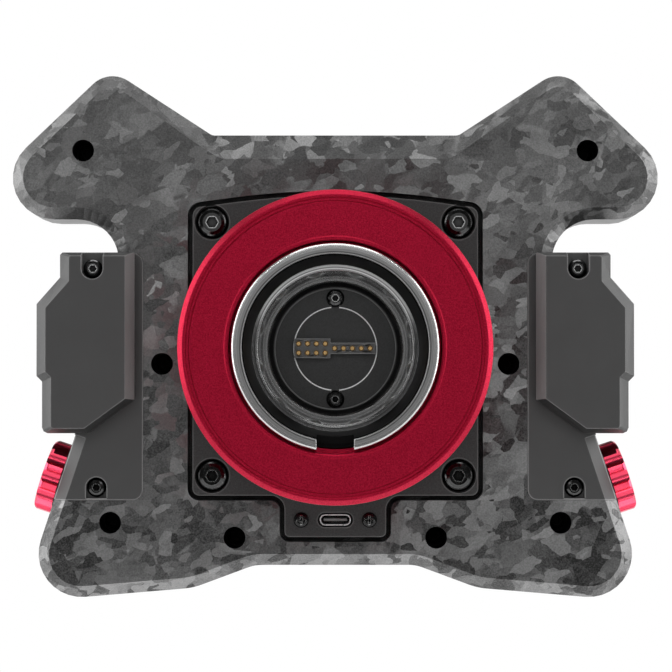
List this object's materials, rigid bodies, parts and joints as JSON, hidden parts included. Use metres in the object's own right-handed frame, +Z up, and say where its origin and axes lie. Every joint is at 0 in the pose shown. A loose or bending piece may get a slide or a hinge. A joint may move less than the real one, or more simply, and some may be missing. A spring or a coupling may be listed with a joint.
{
  "type": "racing wheel",
  "caption": "Body of a sim-racing wheel: forged-carbon housing, red quick-release ring over a ball-lock bore, thumb knobs, push buttons and rotary knobs.",
  "frame": {"origin": "on the steering axis, at the middle of the quick release's pilot bore", "axes": "+X across the wheel, +Z up, +Y towards the driver; the mating coupling leaves along -Y"},
  "size_m": [0.1864, 0.079, 0.1509],
  "materials": {
    "forged_carbon": "forged carbon flakes under a satin lacquer",
    "black_anodised": "black anodised, fine bead-blasted texture",
    "black_screw": "black oxide, semi-gloss",
    "zinc_screw": "zinc plated",
    "turned_steel": "turned steel, concentric lines",
    "red_anodised": "red anodised, bead-blasted satin",
    "bright_red_anodised": "red anodised, polished flutes",
    "moulded_black": "moulded black, fine texture",
    "solder_mask": "black solder mask, satin",
    "gold_contact": "gold plated",
    "usb_steel": "nickel plated",
    "button_rubber": "soft-touch black"
  },
  "bodies": {
    "housing": {"rear_shell": "forged_carbon", "front_shell": "forged_carbon", "case_screws": "black_screw", "mount_plate": "black_anodised", "mount_plate_screws": "black_screw", "qr_hub": "black_anodised", "qr_hub_screws": "zinc_screw", "qr_nose_ring": "turned_steel", "ring_spring": "turned_steel", "locking_balls": "turned_steel", "connector_holder": "moulded_black", "connector_board": "solder_mask", "connector_screws": "black_screw", "header_block": "moulded_black", "contact_pins": "gold_contact", "usb_port": "usb_steel", "usb_board": "solder_mask", "usb_screws": "black_screw", "main_board": "solder_mask", "main_board_screws": "zinc_screw", "left_module_cover": "moulded_black", "right_module_cover": "moulded_black", "left_module_base": "moulded_black", "right_module_base": "moulded_black", "left_module_screws": "black_screw", "right_module_screws": "black_screw", "left_thumb_encoder": "moulded_black", "right_thumb_encoder": "moulded_black", "button_bezels": "bright_red_anodised", "button_switches": "moulded_black", "rotary_encoders": "moulded_black", "rotary_nuts": "zinc_screw"},
    "ring": {"locking_ring": "red_anodised"},
    "left_thumb": {"left_thumb_knob": "bright_red_anodised", "left_thumb_shaft": "turned_steel"},
    "right_thumb": {"right_thumb_knob": "bright_red_anodised", "right_thumb_shaft": "turned_steel"},
    "left_rotary": {"left_rotary_knob": "red_anodised", "left_rotary_shaft": "turned_steel"},
    "centre_rotary": {"centre_rotary_knob": "red_anodised", "centre_rotary_shaft": "turned_steel"},
    "right_rotary": {"right_rotary_knob": "red_anodised", "right_rotary_shaft": "turned_steel"},
    "left_cap_1": {"left_button_1": "button_rubber"},
    "left_cap_2": {"left_button_2": "button_rubber"},
    "left_cap_3": {"left_button_3": "button_rubber"},
    "left_cap_4": {"left_button_4": "button_rubber"},
    "left_cap_5": {"left_button_5": "button_rubber"},
    "right_cap_1": {"right_button_1": "button_rubber"},
    "right_cap_2": {"right_button_2": "button_rubber"},
    "right_cap_3": {"right_button_3": "button_rubber"},
    "right_cap_4": {"right_button_4": "button_rubber"},
    "right_cap_5": {"right_button_5": "button_rubber"}
  },
  "joints": [
    {"name": "ring_pull", "type": "slide", "parent": "housing", "child": "ring", "axis": [0, 1, 0], "range_m": [0, 0.0065], "stiffness_N_per_m": 1500, "springref_m": -0.008, "deforming": ["ring_spring"]},
    {"name": "left_thumb_turn", "type": "hinge", "parent": "housing", "child": "left_thumb", "pos_m": [-0.07933, 0.032, -0.038], "axis": [-0.9489, 0, 0.3156], "continuous": true},
    {"name": "right_thumb_turn", "type": "hinge", "parent": "housing", "child": "right_thumb", "pos_m": [0.07933, 0.032, -0.038], "axis": [0.9489, 0, 0.3156], "continuous": true},
    {"name": "left_press_1", "type": "slide", "parent": "housing", "child": "left_cap_1", "axis": [0, -1, 0], "range_m": [0, 0.0015], "stiffness_N_per_m": 500, "springref_m": -0.001},
    {"name": "left_press_2", "type": "slide", "parent": "housing", "child": "left_cap_2", "axis": [0, -1, 0], "range_m": [0, 0.0015], "stiffness_N_per_m": 500, "springref_m": -0.001},
    {"name": "left_press_3", "type": "slide", "parent": "housing", "child": "left_cap_3", "axis": [0, -1, 0], "range_m": [0, 0.0015], "stiffness_N_per_m": 500, "springref_m": -0.001},
    {"name": "left_press_4", "type": "slide", "parent": "housing", "child": "left_cap_4", "axis": [0, -1, 0], "range_m": [0, 0.0015], "stiffness_N_per_m": 500, "springref_m": -0.001},
    {"name": "left_press_5", "type": "slide", "parent": "housing", "child": "left_cap_5", "axis": [0, -1, 0], "range_m": [0, 0.0015], "stiffness_N_per_m": 500, "springref_m": -0.001},
    {"name": "right_press_1", "type": "slide", "parent": "housing", "child": "right_cap_1", "axis": [0, -1, 0], "range_m": [0, 0.0015], "stiffness_N_per_m": 500, "springref_m": -0.001},
    {"name": "right_press_2", "type": "slide", "parent": "housing", "child": "right_cap_2", "axis": [0, -1, 0], "range_m": [0, 0.0015], "stiffness_N_per_m": 500, "springref_m": -0.001},
    {"name": "right_press_3", "type": "slide", "parent": "housing", "child": "right_cap_3", "axis": [0, -1, 0], "range_m": [0, 0.0015], "stiffness_N_per_m": 500, "springref_m": -0.001},
    {"name": "right_press_4", "type": "slide", "parent": "housing", "child": "right_cap_4", "axis": [0, -1, 0], "range_m": [0, 0.0015], "stiffness_N_per_m": 500, "springref_m": -0.001},
    {"name": "right_press_5", "type": "slide", "parent": "housing", "child": "right_cap_5", "axis": [0, -1, 0], "range_m": [0, 0.0015], "stiffness_N_per_m": 500, "springref_m": -0.001},
    {"name": "left_rotary_turn", "type": "hinge", "parent": "housing", "child": "left_rotary", "pos_m": [-0.032, 0.0505, -0.034], "axis": [0, 1, 0], "continuous": true},
    {"name": "centre_rotary_turn", "type": "hinge", "parent": "housing", "child": "centre_rotary", "pos_m": [0, 0.0505, -0.046], "axis": [0, 1, 0], "continuous": true},
    {"name": "right_rotary_turn", "type": "hinge", "parent": "housing", "child": "right_rotary", "pos_m": [0.032, 0.0505, -0.034], "axis": [0, 1, 0], "continuous": true}
  ]
}
